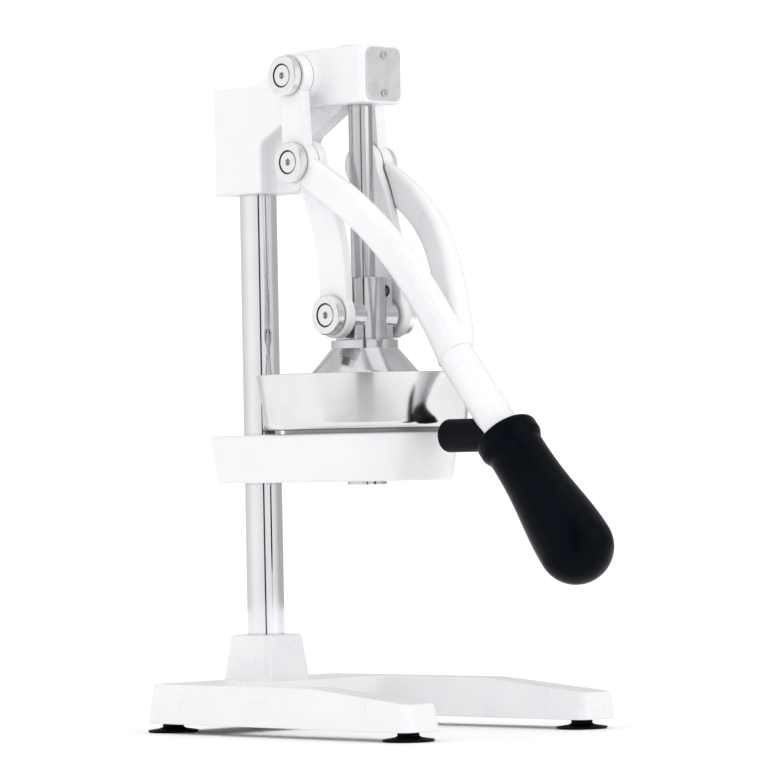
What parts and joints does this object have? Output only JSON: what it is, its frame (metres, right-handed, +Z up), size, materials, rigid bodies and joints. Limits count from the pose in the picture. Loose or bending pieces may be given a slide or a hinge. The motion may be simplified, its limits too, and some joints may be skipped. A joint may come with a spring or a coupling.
{
  "type": "citrus press juicer",
  "caption": "Free-standing hand press for citrus: drafted base, column, head with toggle lever and curved links, bell, bowl with reamer, shelf and grip.",
  "frame": {"origin": "centre of the bounding box in X and Y, on the plane that the feet stand on", "axes": "+Z up, +X towards the operator and the lever's grip, Y across; the press is the same on both sides of the XZ plane"},
  "size_m": [0.3164, 0.1836, 0.4181],
  "materials": {
    "enamel": "glossy white enamel on cast metal",
    "lever_enamel": "glossy white enamel on a forged lever and links",
    "chrome": "mirror chrome on the column",
    "satin_steel": "fine ground steel bar",
    "polished_aluminium": "polished aluminium casting",
    "bowl_steel": "spun steel, brushed round",
    "nickel": "nickel-plated turned steel",
    "hardware": "zinc-plated fasteners",
    "black_grip": "black moulded grip, soft sheen",
    "black_rubber": "black moulded rubber",
    "plate_metal": "thin satin aluminium plate"
  },
  "bodies": {
    "stand": {"base_casting": "enamel", "foot_front_left": "black_rubber", "foot_front_right": "black_rubber", "foot_rear_left": "black_rubber", "foot_rear_right": "black_rubber", "foot_screws": "hardware", "column": "chrome", "column_washer": "hardware", "column_bolt": "hardware", "head_casting": "enamel", "head_set_screws": "hardware", "shelf": "enamel", "shelf_set_screw": "hardware", "juice_bowl": "bowl_steel", "strainer": "bowl_steel", "reamer_cone": "polished_aluminium", "nameplate": "plate_metal", "nameplate_screws": "hardware", "fulcrum_pin": "hardware", "fulcrum_cap_left": "nickel", "fulcrum_cap_right": "nickel", "fulcrum_screw_left": "nickel", "fulcrum_screw_right": "nickel"},
    "lever": {"lever_fork": "lever_enamel", "lever_grip": "black_grip", "lever_bumper": "black_rubber", "bumper_stud": "hardware", "crank_pin_left": "hardware", "crank_pin_right": "hardware", "crank_cap_left": "nickel", "crank_cap_right": "nickel", "crank_screw_left": "nickel", "crank_screw_right": "nickel"},
    "press": {"press_head": "polished_aluminium", "ram": "satin_steel", "ram_lock_pin": "hardware", "head_pin_left": "hardware", "head_pin_right": "hardware", "head_cap_left": "nickel", "head_cap_right": "nickel", "head_screw_left": "nickel", "head_screw_right": "nickel"},
    "link_left": {"link_left": "lever_enamel", "link_stud_left": "hardware"},
    "link_right": {"link_right": "lever_enamel", "link_stud_right": "hardware"}
  },
  "joints": [
    {"name": "lever_hinge", "type": "hinge", "parent": "stand", "child": "lever", "pos_m": [-0.06093, 0, 0.3995], "axis": [0, -1, 0], "range_deg": [0, 110]},
    {"name": "press_slide", "type": "slide", "parent": "stand", "child": "press", "axis": [0, 0, 1], "range_m": [0, 0.07467]},
    {"name": "link_left_swing", "type": "hinge", "parent": "press", "child": "link_left", "pos_m": [-0.03573, -0.0239, 0.2529], "axis": [0, 1, 0], "range_deg": [0, 27.07]},
    {"name": "link_right_swing", "type": "hinge", "parent": "press", "child": "link_right", "pos_m": [-0.03573, 0.0239, 0.2529], "axis": [0, 1, 0], "range_deg": [0, 27.07]}
  ],
  "couplings": [
    {"joint": "press_slide", "follows": "lever_hinge", "m_per_rad": 0.038893},
    {"joint": "link_left_swing", "follows": "lever_hinge", "ratio": 0.24606},
    {"joint": "link_right_swing", "follows": "lever_hinge", "ratio": 0.24606}
  ]
}
